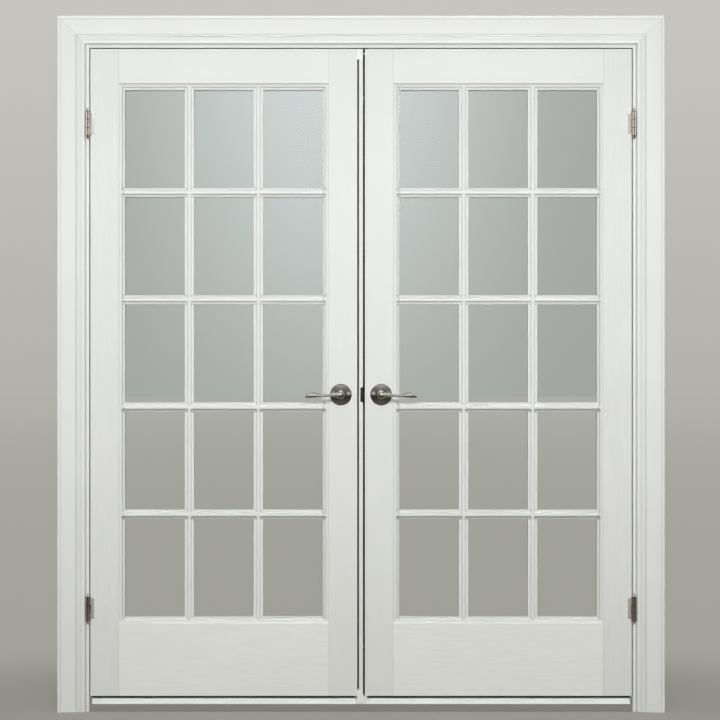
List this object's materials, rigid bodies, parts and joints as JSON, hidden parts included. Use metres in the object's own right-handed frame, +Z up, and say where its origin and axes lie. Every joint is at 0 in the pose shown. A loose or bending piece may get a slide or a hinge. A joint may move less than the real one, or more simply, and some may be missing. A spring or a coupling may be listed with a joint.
{
  "type": "french doors",
  "caption": "Pair of inswing wooden French doors with divided glass, in a frame with casing, sill, astragal, hinges and lever handles.",
  "frame": {"origin": "on the floor under the middle of the sill, halfway through the depth of the jambs", "axes": "+X to the right seen from the room, +Y towards the outside, +Z up"},
  "size_m": [1.9046, 0.215, 2.184],
  "materials": {
    "painted_wood": "satin white paint",
    "glass": "clear",
    "satin_nickel": "satin",
    "hinge_steel": "satin",
    "lock_steel": "satin",
    "dark_metal": "satin",
    "sill_composite": "matte",
    "sill_metal": "satin",
    "white_plastic": "matte",
    "seal_rubber": "matte"
  },
  "bodies": {
    "frame": {"left_jamb": "painted_wood", "right_jamb": "painted_wood", "head_jamb": "painted_wood", "left_casing": "painted_wood", "right_casing": "painted_wood", "head_casing": "painted_wood", "left_brickmould": "painted_wood", "right_brickmould": "painted_wood", "head_brickmould": "painted_wood", "sill_base": "sill_composite", "sill_deck": "sill_metal", "sill_cap": "white_plastic", "sill_end_pads": "seal_rubber", "weatherstrips": "seal_rubber", "bolt_keepers": "lock_steel", "left_frame_hinge_plates": "hinge_steel", "right_frame_hinge_plates": "hinge_steel", "left_hinge_pins": "hinge_steel", "right_hinge_pins": "hinge_steel"},
    "left_leaf": {"left_hinge_stile": "painted_wood", "left_lock_stile": "painted_wood", "left_top_rail": "painted_wood", "left_bottom_rail": "painted_wood", "left_upright_bars": "painted_wood", "left_cross_bars": "painted_wood", "left_glazing_beads": "painted_wood", "left_glass_panes": "glass", "left_bottom_sweep": "seal_rubber", "left_leaf_hinge_plates": "hinge_steel", "astragal": "painted_wood", "astragal_end_blocks": "white_plastic", "astragal_seal": "seal_rubber", "strike_plate": "dark_metal", "left_roses": "satin_nickel", "left_levers": "satin_nickel"},
    "right_leaf": {"right_hinge_stile": "painted_wood", "right_lock_stile": "painted_wood", "right_top_rail": "painted_wood", "right_bottom_rail": "painted_wood", "right_upright_bars": "painted_wood", "right_cross_bars": "painted_wood", "right_glazing_beads": "painted_wood", "right_glass_panes": "glass", "right_bottom_sweep": "seal_rubber", "right_leaf_hinge_plates": "hinge_steel", "right_roses": "satin_nickel", "latch_case": "lock_steel"},
    "lever_set": {"right_inside_lever": "satin_nickel", "right_outside_lever": "satin_nickel", "lever_spindle": "lock_steel"},
    "latch": {"latch_bolt": "lock_steel"},
    "top_flush_bolt": {"top_bolt": "lock_steel"},
    "bottom_flush_bolt": {"bottom_bolt": "lock_steel"}
  },
  "joints": [
    {"name": "left_leaf_hinge", "type": "hinge", "parent": "frame", "child": "left_leaf", "pos_m": [-0.857, -0.067, 1.05], "axis": [0, 0, -1], "range_deg": [0, 170]},
    {"name": "right_leaf_hinge", "type": "hinge", "parent": "frame", "child": "right_leaf", "pos_m": [0.857, -0.067, 1.05], "axis": [0, 0, 1], "range_deg": [0, 170]},
    {"name": "lever_turn", "type": "hinge", "parent": "right_leaf", "child": "lever_set", "pos_m": [0.06325, -0.03575, 0.996], "axis": [0, 1, 0], "range_deg": [0, 45], "stiffness_Nm_per_rad": 0.7, "springref_deg": -40.11},
    {"name": "latch_slide", "type": "slide", "parent": "right_leaf", "child": "latch", "axis": [1, 0, 0], "range_m": [0, 0.0115]},
    {"name": "top_bolt_slide", "type": "slide", "parent": "left_leaf", "child": "top_flush_bolt", "axis": [0, 0, 1], "range_m": [0, 0.02]},
    {"name": "bottom_bolt_slide", "type": "slide", "parent": "left_leaf", "child": "bottom_flush_bolt", "axis": [0, 0, -1], "range_m": [0, 0.02]}
  ],
  "couplings": [
    {"joint": "latch_slide", "follows": "lever_turn", "m_per_rad": 0.014642}
  ]
}
